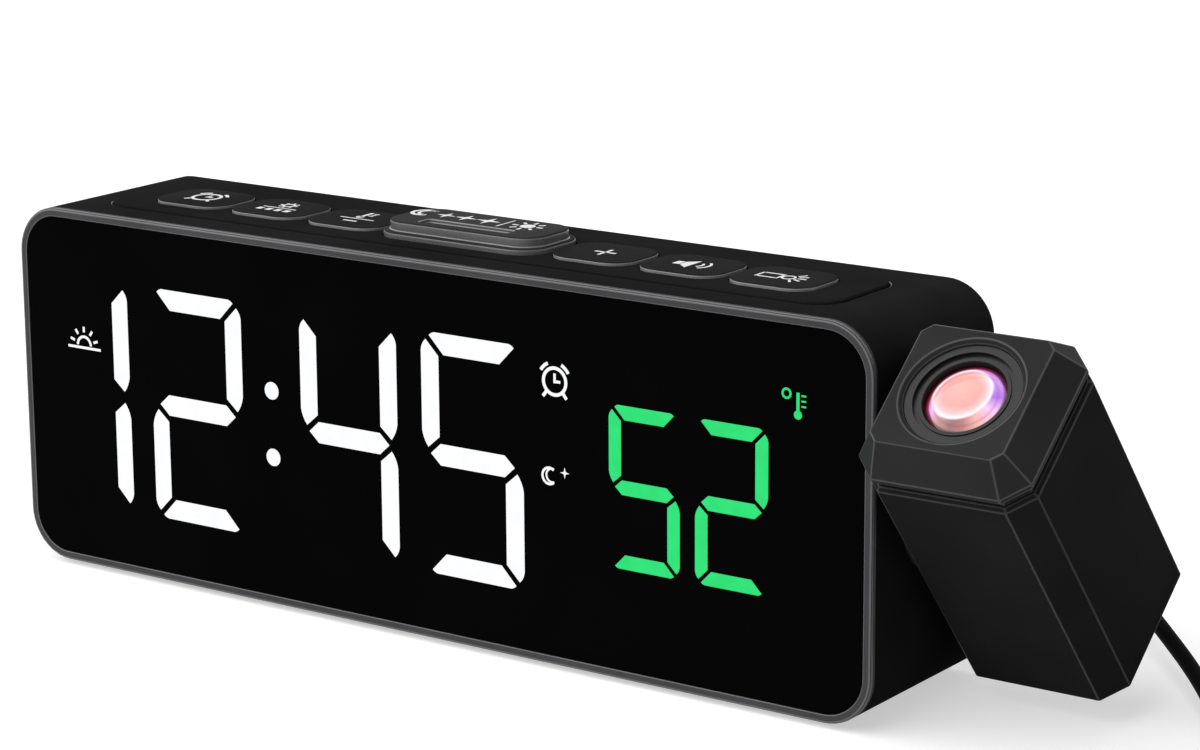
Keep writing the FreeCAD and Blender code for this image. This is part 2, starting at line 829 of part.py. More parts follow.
projector_x = side_x + projector_gap
projector_mid = projector_x + projector_width / 2
rim_z = projector_above
cap_top = rim_z + cap_height
neck_top = rim_z + neck_height
ring_seat = rim_z + cap_seat_rise
board_half_x = projector_width / 2 - projector_wall - projector_board_gap
board_half_y = projector_depth / 2 - projector_wall - projector_board_gap
post_reach_x = board_half_x - projector_post_edge
post_reach_y = board_half_y - projector_post_edge


def at_tilt(shape):
    shape = shape.copy()
    shape.rotate(V(0, 0, 0), X_AXIS, tilt)
    shape.translate(V(0, 0, pivot_z))
    return shape


def cut_square(inset, chamfer, z):
    """Outline of the projector's cross-section, drawn in by an inset."""
    a = projector_width / 2 - inset
    b = projector_depth / 2 - inset
    c = chamfer
    corners = [(a, -b + c), (a, b - c), (a - c, b), (-a + c, b), (-a, b - c),
               (-a, -b + c), (-a + c, -b), (a - c, -b)]
    points = [V(projector_mid + x, y, z) for x, y in corners]
    return Part.makePolygon(points + points[:1])


def inset_chamfer(inset):
    return projector_chamfer - inset * (2 - math.sqrt(2))


def prism(inset, z0, z1):
    outline = cut_square(inset, inset_chamfer(inset), z0)
    return Part.Face(outline).extrude(V(0, 0, z1 - z0))


def taper(inset0, chamfer0, z0, inset1, chamfer1, z1):
    return Part.makeLoft([cut_square(inset0, chamfer0, z0),
                          cut_square(inset1, chamfer1, z1)], True, True)


def make_projector():
    bottom = -projector_below
    floor = bottom + projector_wall
    base = taper(base_edge, inset_chamfer(base_edge), bottom, 0, projector_chamfer,
                 bottom + base_edge)
    middle = prism(0, bottom + base_edge, rim_z - rim_edge)
    rim = taper(0, projector_chamfer, rim_z - rim_edge, rim_edge,
                inset_chamfer(rim_edge), rim_z)
    housing = joined([base, middle, rim])
    housing = housing.cut(prism(projector_wall, floor, rim_z + 1))
    for x in (-post_reach_x, post_reach_x):
        for y in (-post_reach_y, post_reach_y):
            housing = housing.fuse(rod(V(projector_mid + x, y, floor), Z_AXIS,
                                       projector_post_radius, projector_board_rise))
    wire_hole = rod(V(projector_x - 1, 0, 0), X_AXIS, shaft_bore, projector_wall + 2)
    housing = housing.cut(wire_hole)
    for x, y, z in hub_screw_places():
        housing = housing.cut(rod(V(x - 1, y, z), X_AXIS, hub_screw_radius + 2 * slip_gap,
                                  projector_wall + 2))
    save("projector_housing", at_tilt(housing.removeSplitter()))

    spigot = prism(projector_wall + fit_gap, rim_z - cap_spigot, rim_z)
    neck = prism(neck_inset, rim_z, neck_top)
    band = prism(0, neck_top, neck_top + cap_band)
    crown = taper(0, projector_chamfer, neck_top + cap_band, cap_top_inset,
                  cap_top_chamfer, cap_top)
    cap = joined([spigot, neck, band, crown])
    axis = V(projector_mid, 0, 0)
    cap = cap.cut(rod(axis + V(0, 0, ring_seat), Z_AXIS, cap_bore, cap_height))
    cap = cap.cut(rod(axis + V(0, 0, rim_z - cap_spigot - 1), Z_AXIS, cap_lower_bore,
                      cap_height))
    cap = cap.cut(Part.makeCone(cap_bore, cap_bore + cap_bore_edge, cap_bore_edge,
                                axis + V(0, 0, cap_top - cap_bore_edge), Z_AXIS))
    save("projector_cap", at_tilt(cap))

    ring_bottom = ring_seat + slip_gap
    ring_top = cap_top - focus_ring_sink
    ring_outer = cap_bore - 2 * running_gap
    ring_inner = lens_cell_radius + running_gap
    focus = ring(axis + V(0, 0, ring_bottom), Z_AXIS, ring_outer, ring_inner,
                 ring_top - ring_bottom)
    focus = focus.cut(rod(axis + V(0, 0, ring_top - focus_step), Z_AXIS,
                          ring_inner + focus_step_width, focus_step + 1))
    save("focus_ring", at_tilt(focus))

    cell_top = cap_top - lens_cell_sink
    cell_bottom = cell_top - lens_cell_length
    seat_z = cell_top - lens_edge - lens_crown
    cell = rod(axis + V(0, 0, cell_bottom), Z_AXIS, lens_cell_radius, lens_cell_length)
    cell = cell.cut(rod(axis + V(0, 0, cell_bottom - 1), Z_AXIS,
                        lens_radius - lens_seat_lip, lens_cell_length + 2))
    cell = cell.cut(rod(axis + V(0, 0, seat_z), Z_AXIS, lens_radius + slip_gap,
                        lens_cell_length))
    save("lens_cell", at_tilt(cell))
    save("projection_lens", at_tilt(crowned_lens(axis, seat_z, lens_radius, lens_edge,
                                                 lens_crown)))

    board_bottom = floor + projector_board_rise
    board_top = board_bottom + board_thickness
    board = block(projector_mid - board_half_x, projector_mid + board_half_x,
                  -board_half_y, board_half_y, board_bottom, board_top)
    uprights = [e for e in board.Edges if abs(e.tangentAt(e.FirstParameter).z) > 0.99]
    board = board.makeChamfer(projector_board_chamfer, uprights)
    save("projector_board", at_tilt(board))
    lamp_half = lamp_side / 2
    lamp = block(projector_mid - lamp_half, projector_mid + lamp_half, -lamp_half,
                 lamp_half, board_top, board_top + lamp_height)
    dome = rod(axis + V(0, 0, board_top + lamp_height), Z_AXIS, lamp_half - lamp_dome_inset,
               lamp_dome_height)
    save("projector_lamp", at_tilt(lamp.fuse(dome).removeSplitter()))
    side = optic_side / 2
    inner = side - optic_wall
    tube = block(projector_mid - side, projector_mid + side, -side, side, board_top,
                 board_top + optic_height)
    tube = tube.cut(block(projector_mid - inner, projector_mid + inner, -inner, inner,
                          board_top - 1, board_top + optic_height + 1))
    save("optic_tube", at_tilt(tube))
    save("condenser_lens", at_tilt(crowned_lens(axis, board_top + condenser_rise,
                                                condenser_radius, condenser_edge,
                                                condenser_crown)))
    lcd_half = lcd_side / 2
    lcd_z = board_top + lcd_rise
    save("time_lcd", at_tilt(block(projector_mid - lcd_half, projector_mid + lcd_half,
                                   -lcd_half, lcd_half, lcd_z, lcd_z + lcd_thickness)))


def crowned_lens(axis, z0, radius, edge, crown):
    """Flat-backed lens with a rounded front."""
    sphere_radius = (radius * radius + crown * crown) / (2 * crown)
    centre = axis + V(0, 0, z0 + edge + crown - sphere_radius)
    cylinder = rod(axis + V(0, 0, z0), Z_AXIS, radius, edge + crown)
    return cylinder.common(Part.makeSphere(sphere_radius, centre))


def hub_screw_places():
    places = []
    for i in range(3):
        turn = 2 * math.pi * i / 3
        places.append((projector_x, hub_screw_circle * math.cos(turn),
                       hub_screw_circle * math.sin(turn)))
    return places


def make_pivot():
    """Hollow hub of the projector, held in the case by a clip and a spring washer."""
    inner_face = side_x - wall - pivot_boss_length
    clip_x = inner_face - washer_thickness - 4 * slip_gap - clip_width
    hub = rod(V(projector_x, 0, 0), -X_AXIS, hub_flange_radius,
              projector_gap - 2 * slip_gap)
    hub = hub.fuse(rod(V(projector_x, 0, 0), -X_AXIS, shaft_radius,
                       projector_gap + shaft_length))
    hub = hub.cut(rod(V(projector_x + 1, 0, 0), -X_AXIS, shaft_bore,
                      projector_gap + shaft_length + 2))
    hub = hub.cut(ring(V(clip_x, 0, 0), X_AXIS, shaft_radius + 1,
                       shaft_radius - clip_groove, clip_width))
    screws = []
    head_x = projector_x + projector_wall
    for x, y, z in hub_screw_places():
        hub = hub.cut(rod(V(x + 1, y, z), -X_AXIS, hub_screw_radius + slip_gap,
                          hub_screw_length))
        head = rod(V(head_x, y, z), X_AXIS, hub_screw_radius * 1.7, hub_screw_radius)
        shank = rod(V(head_x, y, z), -X_AXIS, hub_screw_radius, hub_screw_length)
        screws.append(at_tilt(head.fuse(shank).removeSplitter()))
    save("pivot_hub", at_tilt(hub.removeSplitter()))
    save("hub_screws", screws)
    save("retaining_clip", at_tilt(ring(V(clip_x, 0, 0), X_AXIS, clip_radius,
                                        shaft_radius - clip_groove, clip_width)))
    washer = ring(V(clip_x + clip_width + 2 * slip_gap, 0, pivot_z), X_AXIS, washer_radius,
                  shaft_radius + 0.3, washer_thickness)
    save("spring_washer", washer)
    wire_start = clip_x - wire_tail
    wire_end = projector_mid - optic_side / 2 - wire_clearance
    wires = rod(V(wire_start, 0, 0), X_AXIS, wire_radius, wire_end - wire_start)
    save("projector_wires", at_tilt(wires))


# Supply lead: a tube of straight runs with tangent arcs, a coil, a tail and its plug

relief_start_y = cover_front - fit_gap + plug_body_length
lead_exit = V(inlet_x, relief_start_y + relief_length, inlet_z)
coil_outer = coil_mean_radius + coil_pitch * coil_quarters / 8
coil_inner = coil_mean_radius - coil_pitch * coil_quarters / 8
coil_start = V(coil_x, coil_y - coil_outer, cord_radius)
lead_points = [lead_exit,
               V(72.0, 47.0, 14.0),
               V(78.6, 58.0, 12.8),
               V(91.2, 62.4, 10.8),
               V(104.0, 60.2, 8.9),
               V(117.8, 46.8, 6.6),
               V(134.6, 28.9, 4.6),
               V(147.2, 12.6, 2.6),
               V(155.6, -0.8, 1.7),
               V(166.6, coil_start.y, cord_radius),
               coil_start - V(coil_lead, 0, 0)]
coil_end_radius = coil_inner + coil_pitch * last_quarters / 4
coil_end = V(coil_x + coil_end_radius, coil_y,
             cord_radius + (coil_layers - 1) * coil_pitch)
usb_axis_z = usb_body_height / 2
tail_points = [coil_end + V(0, coil_lead, 0),
               coil_end + V(0, coil_lead + tail_straight, 0),
               V(201.8, 38.0, 9.2),
               V(192.0, 47.6, 6.2),
               V(181.5, 51.6, usb_axis_z),
               V(172.5, 51.6, usb_axis_z)]


def bent_path(points):
    """Straight runs joined by arcs as large as the two runs beside each point allow."""
    edges = []
    least = None
    last = points[0]
    for before, here, after in zip(points, points[1:], points[2:]):
        into = here - before
        out = after - here
        half_turn = into.getAngle(out) / 2
        reach = 0.45 * min(into.Length, out.Length)
        radius = reach / math.tan(half_turn)
        least = radius if least is None else min(least, radius)
        start = here - into.normalize() * reach
        end = here + out.normalize() * reach
        to_centre = (start + end) / 2 - here
        apex = here + to_centre.normalize() * radius * (1 / math.cos(half_turn) - 1)
        edges.append(Part.LineSegment(last, start).toShape())
        edges.append(Part.Arc(start, apex, end).toShape())
        last = end
    edges.append(Part.LineSegment(last, points[-1]).toShape())
    print("least bend radius", round(least, 1))
    return Part.Wire(edges)


def round_tube(path, name):
    """Round cord along a path; its volume is set against section times length."""
    start = path.Edges[0].valueAt(path.Edges[0].FirstParameter)
    heading = path.Edges[0].tangentAt(path.Edges[0].FirstParameter)
    profile = Part.Wire(Part.makeCircle(cord_radius, start, heading))
    tube = path.makePipeShell([profile], True, False)
    expected = math.pi * cord_radius ** 2 * path.Length
    print(name, "length", round(path.Length, 1), "volume ratio",
          round(tube.Volume / expected, 4), "valid", tube.isValid())
    return tube


def coil_place(quarter):
    """Point and heading on the coil after so many quarter turns."""
    stage = coil_quarters + climb_quarters
    layer = min(int(quarter // stage), coil_layers - 1)
    along = quarter - layer * stage
    if layer % 2 == 0:
        first = coil_outer
        rate = -coil_pitch / 4
    else:
        first = coil_inner
        rate = coil_pitch / 4
    height = layer * coil_pitch
    climb = 0.0
    slope = 0.0
    if along <= coil_quarters:
        radius = first + rate * along
        drift = rate
    else:
        climb = (along - coil_quarters) / climb_quarters
        swing = climb_quarters / 2
        radius = first + rate * coil_quarters + rate * (swing - abs(
            along - coil_quarters - swing))
        drift = 0.0
        slope = 1.5 * climb * (1 - climb) * coil_pitch * 4 / climb_quarters
        climb = climb * climb * (3 - 2 * climb)
    turn = math.pi / 2 * (quarter - 1)
    outward = V(math.cos(turn), math.sin(turn), 0)
    onward = V(-math.sin(turn), math.cos(turn), 0)
    point = V(coil_x, coil_y, cord_radius + height + climb * coil_pitch)
    point = point + outward * radius
    if along in (0, coil_quarters) or quarter == coil_total:
        drift = 0.0
    heading = onward * (math.pi / 2 * radius) + outward * drift + V(0, 0, slope)
    return point, heading.normalize()


coil_total = (coil_layers - 1) * (coil_quarters + climb_quarters) + last_quarters


def arc_from(start, heading, end):
    """Arc that leaves start along heading and ends at end."""
    chord = end - start
    along = V(chord).normalize()
    side = heading - along * heading.dot(along)
    if side.Length < 1e-7:
        return Part.LineSegment(start, end).toShape()
    angle = heading.getAngle(along)
    rise = chord.Length / 2 * math.tan(angle / 2)
    return Part.Arc(start, (start + end) / 2 + side.normalize() * rise, end).toShape()


def biarc(start, start_heading, end, end_heading):
    """Two arcs that meet smoothly between two points with given headings."""
    chord = end - start
    both = start_heading + end_heading
    spread = 2 * (1 - start_heading.dot(end_heading))
    lean = chord.dot(both)
    reach = (-lean + math.sqrt(lean * lean + spread * chord.dot(chord))) / spread
    first = start + start_heading * reach
    second = end - end_heading * reach
    meet = (first + second) / 2
    first_arc = arc_from(start, start_heading, meet)
    middle_heading = V(second - first).normalize()
    return [first_arc, arc_from(meet, middle_heading, end)]


def least_gap(path):
    """Least gap of a wound tube to itself, measured on points along its path."""
    step = cord_radius
    points = path.discretize(Distance=step)
    skip = int(4 * cord_radius * math.pi / step)
    least = None
    for i in range(0, len(points), 2):
        for j in range(i + skip, len(points)):
            far = abs(points[i].z - points[j].z)
            if far > 2 * coil_pitch:
                continue
            distance = points[i].distanceToPoint(points[j])
            least = distance if least is None else min(least, distance)
    return least - 2 * cord_radius


def make_lead():
    save("power_cord", round_tube(bent_path(lead_points), "power_cord"))
    edges = [Part.LineSegment(coil_start - V(coil_lead, 0, 0), coil_start).toShape()]
    place, heading = coil_start, X_AXIS
    for quarter in range(1, coil_total + 1):
        next_place, next_heading = coil_place(quarter)
        edges += biarc(place, heading, next_place, next_heading)
        place, heading = next_place, next_heading
    edges.append(Part.LineSegment(place, place + V(0, coil_lead, 0)).toShape())
    path = Part.Wire(edges)
    print("coil least gap to itself", round(least_gap(path), 2))
    save("cord_coil", round_tube(path, "cord_coil"))
    save("cord_tail", round_tube(bent_path(tail_points), "cord_tail"))

    tip = tail_points[-1]
    relief = Part.makeCone(relief_tip_radius, usb_relief_base, usb_relief, tip, -X_AXIS)
    body_right = tip.x - usb_relief
    body_left = body_right - usb_body_length
    body = rounded(body_left, body_right, tip.y - usb_body_width / 2,
                   tip.y + usb_body_width / 2, 0, usb_body_height, 1.5, X_AXIS)
    save("usb_plug_body", body.fuse(relief).removeSplitter())
    shell_left = body_left - usb_shell_length
    half_w = usb_shell_width / 2
    half_h = usb_shell_height / 2
    shell = block(shell_left, body_left, tip.y - half_w, tip.y + half_w,
                  tip.z - half_h, tip.z + half_h)
    inner = block(shell_left - 1, body_left - 1, tip.y - half_w + usb_shell_wall,
                  tip.y + half_w - usb_shell_wall, tip.z - half_h + usb_shell_wall,
                  tip.z + half_h - usb_shell_wall)
    tongue = block(shell_left + 0.5, body_left - 0.5, tip.y - half_w + 2 * usb_shell_wall,
                   tip.y + half_w - 2 * usb_shell_wall, tip.z + half_h - usb_shell_wall
                   - usb_tongue, tip.z + half_h - usb_shell_wall)
    save("usb_plug_shell", shell.cut(inner).fuse(tongue).removeSplitter())


make_display()
make_bezel()
make_case()
make_rear()
make_speaker()
make_inlet()
make_keys()
make_main_board()
make_projector()
make_pivot()
make_lead()
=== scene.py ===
import json
import math

import bmesh
import bpy
from mathutils import Matrix, Vector


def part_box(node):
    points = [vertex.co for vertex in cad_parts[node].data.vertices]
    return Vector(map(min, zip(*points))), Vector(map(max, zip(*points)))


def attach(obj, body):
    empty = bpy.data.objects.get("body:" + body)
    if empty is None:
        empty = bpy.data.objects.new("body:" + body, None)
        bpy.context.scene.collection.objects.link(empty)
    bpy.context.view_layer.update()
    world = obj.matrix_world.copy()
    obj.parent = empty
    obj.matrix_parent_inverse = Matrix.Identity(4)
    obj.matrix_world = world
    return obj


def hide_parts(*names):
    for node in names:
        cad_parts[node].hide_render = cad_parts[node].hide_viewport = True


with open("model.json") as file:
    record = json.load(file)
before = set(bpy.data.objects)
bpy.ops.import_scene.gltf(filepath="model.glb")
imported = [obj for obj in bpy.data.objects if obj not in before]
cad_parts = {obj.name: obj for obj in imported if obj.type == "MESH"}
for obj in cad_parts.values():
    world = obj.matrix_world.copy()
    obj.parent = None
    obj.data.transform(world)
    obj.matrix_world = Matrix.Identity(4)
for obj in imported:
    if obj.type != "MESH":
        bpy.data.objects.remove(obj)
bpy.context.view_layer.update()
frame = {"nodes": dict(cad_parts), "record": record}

# Main case: one moulding in black ABS, a rounded tube that is open at the front and the back.
# Its mould was spark eroded, which leaves a fine matt grain and only a weak, wide shine. The
# body of each piece comes from the record.
MM = 0.001
nodes = frame["nodes"]
bodies = frame["record"]["behaviour"]["bodies"]
body_of = {node: body for body, held in bodies.items() for node in held}


def linear(code):
    channels = [int(code[place:place + 2], 16) / 255 for place in (1, 3, 5)]
    turned = [c / 12.92 if c <= 0.04045 else ((c + 0.055) / 1.055) ** 2.4 for c in channels]
    return turned + [1.0]


def add_node(tree, kind, settings=None, links=None):
    node = tree.nodes.new(kind)
    for name, value in (settings or {}).items():
        if name in node.inputs:
            node.inputs[name].default_value = value
        else:
            setattr(node, name, value)
    for name, socket in (links or {}).items():
        tree.links.new(socket, node.inputs[name])
    return node


def start_material(name):
    made = bpy.data.materials.new(name)
    made.use_nodes = True
    tree = made.node_tree
    place = add_node(tree, "ShaderNodeTexCoord").outputs["Object"]
    return made, tree, tree.nodes["Principled BSDF"], place


def two_tones(tree, factor, dark, light, low=0.35, high=0.65):
    tone = add_node(tree, "ShaderNodeValToRGB", {}, {"Fac": factor})
    tone.color_ramp.elements[0].position = low
    tone.color_ramp.elements[0].color = linear(dark)
    tone.color_ramp.elements[1].position = high
    tone.color_ramp.elements[1].color = linear(light)
    return tone.outputs["Color"]


def moulded_plastic(name, dark, light, roughness, grain_mm, relief_mm, specular):
    made, tree, shader, place = start_material(name)
    grain = add_node(tree, "ShaderNodeTexNoise",
                     {"Scale": 1 / (grain_mm * MM), "Detail": 3.0}, {"Vector": place})
    flow_mm = 26
    flow = add_node(tree, "ShaderNodeTexNoise",
                    {"Scale": 1 / (flow_mm * MM), "Detail": 2.0}, {"Vector": place})
    tone = two_tones(tree, flow.outputs["Fac"], dark, light)
    gloss_change = 0.05
    spread = add_node(tree, "ShaderNodeMapRange",
                      {"From Min": 0.3, "From Max": 0.7, "To Min": roughness - gloss_change,
                       "To Max": roughness + gloss_change}, {"Value": grain.outputs["Fac"]})
    relief = add_node(tree, "ShaderNodeBump", {"Strength": 0.6, "Distance": relief_mm * MM},
                      {"Height": grain.outputs["Fac"]})
    tree.links.new(tone, shader.inputs["Base Color"])
    tree.links.new(spread.outputs["Result"], shader.inputs["Roughness"])
    tree.links.new(relief.outputs["Normal"], shader.inputs["Normal"])
    shader.inputs["Specular IOR Level"].default_value = specular
    return made


def add_piece(sketch, name, material, body):
    data = bpy.data.meshes.new(name)
    sketch.to_mesh(data)
    sketch.free()
    data.materials.append(material)
    piece = bpy.data.objects.new(name, data)
    bpy.context.scene.collection.objects.link(piece)
    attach(piece, body)
    return piece


def softened(node, name, material, edge_mm, edge_material=None):
    same_point_mm = 0.001
    same_plane = math.radians(0.2)
    round_over = math.radians(30)
    sharp_edge = math.radians(28)
    sketch = bmesh.new()
    sketch.from_mesh(nodes[node].data)
    bmesh.ops.remove_doubles(sketch, verts=sketch.verts, dist=same_point_mm * MM)
    bmesh.ops.dissolve_limit(sketch, angle_limit=same_plane, verts=sketch.verts,
                             edges=sketch.edges, use_dissolve_boundaries=False)
    for face in sketch.faces:
        face.smooth = True
    for edge in sketch.edges:
        edge.smooth = edge.calc_face_angle(0) < round_over
    piece = add_piece(sketch, name, material, body_of[node])
    edge_form = piece.modifiers.new("moulded_edge", "BEVEL")
    edge_form.limit_method = "ANGLE"
    edge_form.angle_limit = sharp_edge
    edge_form.width = edge_mm * MM
    edge_form.segments = 3
    edge_form.use_clamp_overlap = False
    edge_form.harden_normals = True
    if edge_material:
        piece.data.materials.append(edge_material)
        edge_form.material = 1
    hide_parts(node)
    return piece


case_abs = moulded_plastic("spark_eroded_black_abs", "#1E1E1F", "#242425",
                           roughness=0.6, grain_mm=0.22, relief_mm=0.01, specular=0.0003)
# The case's edge rounds are painted a slightly lighter grey than the case, a painted highlight
# along the edges, with a glossier finish.
case_edge_painted_highlight = moulded_plastic("black_abs_edge_painted_highlight", "#232324", "#2A2A2B",
                            roughness=0.4, grain_mm=0.5, relief_mm=0.004, specular=0.3)
softened("main_case", "case_moulding", case_abs, edge_mm=0.3, edge_material=case_edge_painted_highlight)

# Front band: a separate satin moulding in dark grey ABS that holds the window in the case.
# Its polished mould gives a smoother face than the case, so its edges catch more light.
band_abs = moulded_plastic("satin_grey_abs", "#3A3A3C", "#434345",
                           roughness=0.45, grain_mm=0.35, relief_mm=0.004, specular=0.15)
band_edge = moulded_plastic("burnished_grey_abs_edge", "#5C5C5E", "#666668",
                            roughness=0.35, grain_mm=0.5, relief_mm=0.004, specular=0.4)
softened("front_bezel", "front_band_moulding", band_abs, edge_mm=0.22, edge_material=band_edge)


# Window: a polished black acrylic plate with an anti-glare coat, dyed so dark that what isn't
# lit behind it can't be seen. The unlit segments are the same plate, so they vanish in it.
def finish(material, *names):
    for name in names:
        nodes[name].material_slots[0].material = material


flow_mm = 30
window_acrylic, tree, shader, place = start_material("polished_black_acrylic")
flow = add_node(tree, "ShaderNodeTexNoise", {"Scale": 1 / (flow_mm * MM)}, {"Vector": place})
tree.links.new(two_tones(tree, flow.outputs["Fac"], "#020202", "#040404"),
               shader.inputs["Base Color"])
shader.inputs["Roughness"].default_value = 0.12
shader.inputs["Specular IOR Level"].default_value = 0.01
finish(window_acrylic, "display_window", "time_segments_unlit", "temperature_segments_unlit")


# Lit segments: milky diffusers that a lamp lights from behind. The light is even over a segment,
# with a trace of the diffuser's cloudiness.
def lit_diffuser(name, glow, dim, strength):
    made, tree, shader, place = start_material(name)
    cloud_mm = 3
    cloud = add_node(tree, "ShaderNodeTexNoise", {"Scale": 1 / (cloud_mm * MM)},
                     {"Vector": place})
    tree.links.new(two_tones(tree, cloud.outputs["Fac"], dim, glow),
                   shader.inputs["Emission Color"])
    shader.inputs["Base Color"].default_value = linear("#101010")
    shader.inputs["Roughness"].default_value = 0.35
    shader.inputs["Specular IOR Level"].default_value = 0.03
    shader.inputs["Emission Strength"].default_value = strength
    return made


white_light = lit_diffuser("milky_diffuser_lit_white", "#FFFFFF", "#FBFCFF", strength=1.0)
green_light = lit_diffuser("milky_diffuser_lit_green", "#30E67C", "#2CE076", strength=1.0)
finish(white_light, "time_segments_lit", "colon_dots")
finish(green_light, "temperature_segments_lit")


# Small lit signs of the window: a rising sun for the morning, an alarm clock, a moon for the
# doze and a thermometer. They are cut into the same mask as the digits, flush in the window.
def bar(sketch, start, end, width):
    start = Vector((start[0], start[1], 0))
    end = Vector((end[0], end[1], 0))
    run = end - start
    turn = Matrix.Rotation(math.atan2(run.y, run.x), 4, "Z")
    size = Matrix.Diagonal((run.length, width, 1, 1))
    made = bmesh.ops.create_grid(sketch, x_segments=1, y_segments=1, size=0.5)
    bmesh.ops.transform(sketch, verts=made["verts"],
                        matrix=Matrix.Translation((start + end) / 2) @ turn @ size)


def bow(sketch, centre, radius, width, start=0, sweep=360, steps=32):
    middle = Vector((centre[0], centre[1], 0))
    way = Vector((math.cos(math.radians(start)), math.sin(math.radians(start)), 0))
    inner = sketch.verts.new(middle + way * (radius - width / 2))
    outer = sketch.verts.new(middle + way * (radius + width / 2))
    line = sketch.edges.new((inner, outer))
    bmesh.ops.spin(sketch, geom=[inner, outer, line], cent=middle, axis=(0, 0, 1),
                   angle=math.radians(sweep), steps=steps, use_merge=sweep == 360)


def dot(sketch, centre, radius):
    bmesh.ops.create_circle(sketch, cap_ends=True, segments=24, radius=radius,
                            matrix=Matrix.Translation((centre[0], centre[1], 0)))


def plate(sketch, corners):
    sketch.faces.new([sketch.verts.new((x, y, 0)) for x, y in corners])


def draw_moon(sketch, centre, radius, stroke):
    x, y = centre
    bow(sketch, centre, radius, stroke, 50, 260, 26)
    bow(sketch, (x + radius * 0.42, y + radius * 0.1), radius * 0.84, stroke * 0.8, 72, 218, 22)


def draw_sun(sketch, centre, radius, ray_end, stroke, first_ray=0, last_ray=315, ray_step=45):
    x, y = centre
    for angle in range(first_ray, last_ray + 1, ray_step):
        way = (math.cos(math.radians(angle)), math.sin(math.radians(angle)))
        bar(sketch, (x + way[0] * radius, y + way[1] * radius),
            (x + way[0] * ray_end, y + way[1] * ray_end), stroke)


def draw_star(sketch, centre, reach):
    x, y = centre
    waist = reach * 0.2
    for turn in range(4):
        angle = math.radians(90 * turn)
        ahead_x, ahead_y = math.cos(angle), math.sin(angle)
        plate(sketch, ((x, y),
                       (x + waist * (ahead_x + ahead_y), y + waist * (ahead_y - ahead_x)),
                       (x + reach * ahead_x, y + reach * ahead_y),
                       (x + waist * (ahead_x - ahead_y), y + waist * (ahead_y + ahead_x))))


def draw_thermometer(sketch, foot, height, stroke):
    x, y = foot
    bulb = height * 0.17
    dot(sketch, (x, y + bulb), bulb)
    bar(sketch, (x, y + bulb), (x, y + height), stroke)
    for mark in range(3):
        level = y + height * (0.5 + 0.2 * mark)
        bar(sketch, (x + stroke * 1.1, level), (x + stroke * 2.6, level), stroke * 0.5)


def draw_alarm_clock(sketch, centre, radius, stroke):
    x, y = centre
    bow(sketch, centre, radius, stroke)
    bar(sketch, (x, y - stroke / 2), (x, y + radius * 0.6), stroke * 0.8)
    bar(sketch, (x, y), (x + radius * 0.5, y), stroke * 0.8)
    for side in (-1, 1):
        bell = 90 - side * 42
        bow(sketch, centre, radius * 1.42, stroke, bell - 17, 34, 8)
        bar(sketch, (x + side * radius * 0.74, y - radius * 0.8),
            (x + side * radius * 1.05, y - radius * 1.2), stroke)


def raise_print(sketch, name, place, material, body):
    height_mm = 0.05
    sunk_mm = 0.01
    same_point_mm = 0.0001
    bmesh.ops.remove_doubles(sketch, verts=sketch.verts, dist=same_point_mm)
    grown = bmesh.ops.extrude_face_region(sketch, geom=list(sketch.faces))
    top = [part for part in grown["geom"] if isinstance(part, bmesh.types.BMVert)]
    bmesh.ops.translate(sketch, verts=top, vec=(0, 0, height_mm))
    bmesh.ops.recalc_face_normals(sketch, faces=sketch.faces)
    small = Matrix.Scale(MM, 4) @ Matrix.Translation((0, 0, -sunk_mm))
    bmesh.ops.transform(sketch, matrix=place @ small, verts=sketch.verts)
    return add_piece(sketch, name, material, body)


window_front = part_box("display_window")[0][1]
on_window = Matrix.Translation((0, window_front, 0)) @ Matrix.Rotation(math.pi / 2, 4, "X")

sketch = bmesh.new()
sun_x, sun_y = -81.35, 45.6
horizon_reach = 4.25
horizon_drop = 0.5
bow(sketch, (sun_x, sun_y), radius=1.7, width=0.52, start=0, sweep=180, steps=20)
draw_sun(sketch, (sun_x, sun_y), radius=2.6, ray_end=3.7, stroke=0.5, first_ray=18,
         last_ray=162, ray_step=36)
bar(sketch, (sun_x - horizon_reach, sun_y - horizon_drop),
    (sun_x + horizon_reach, sun_y - horizon_drop), width=0.5)
raise_print(sketch, "morning_mark", on_window, white_light, "clock")

sketch = bmesh.new()
draw_alarm_clock(sketch, centre=(31.86, 53.8), radius=2.45, stroke=0.62)
raise_print(sketch, "alarm_mark", on_window, white_light, "clock")

sketch = bmesh.new()
draw_moon(sketch, centre=(30.5, 36.3), radius=1.5, stroke=0.45)
draw_star(sketch, centre=(33.9, 37.3), reach=1.0)
raise_print(sketch, "doze_mark", on_window, white_light, "clock")

sketch = bmesh.new()
bow(sketch, centre=(80.3, 58.4), radius=0.8, width=0.4)
draw_thermometer(sketch, foot=(82.6, 54.1), height=4.7, stroke=0.62)
raise_print(sketch, "degree_mark", on_window, green_light, "clock")

# Display parts behind the window: the black light block, the lamp board and its screws. The
# board is green glass-epoxy with a glossy solder mask over the copper.
solder_mask, tree, shader, place = start_material("green_solder_mask")
weave_mm = 1.2
weave = add_node(tree, "ShaderNodeTexNoise", {"Scale": 1 / (weave_mm * MM)}, {"Vector": place})
tree.links.new(two_tones(tree, weave.outputs["Fac"], "#0E4A24", "#18602F"),
               shader.inputs["Base Color"])
shader.inputs["Roughness"].default_value = 0.3
inner_abs = moulded_plastic("black_moulded_nylon", "#1A1A1A", "#222222",
                            roughness=0.5, grain_mm=0.4, relief_mm=0.01, specular=0.3)
finish(solder_mask, "display_board", "main_board", "key_board", "projector_board")
finish(inner_abs, "light_block", "tact_switches", "board_parts", "thermistor", "cell_holder",
       "optic_tube", "pivot_hub", "power_socket")

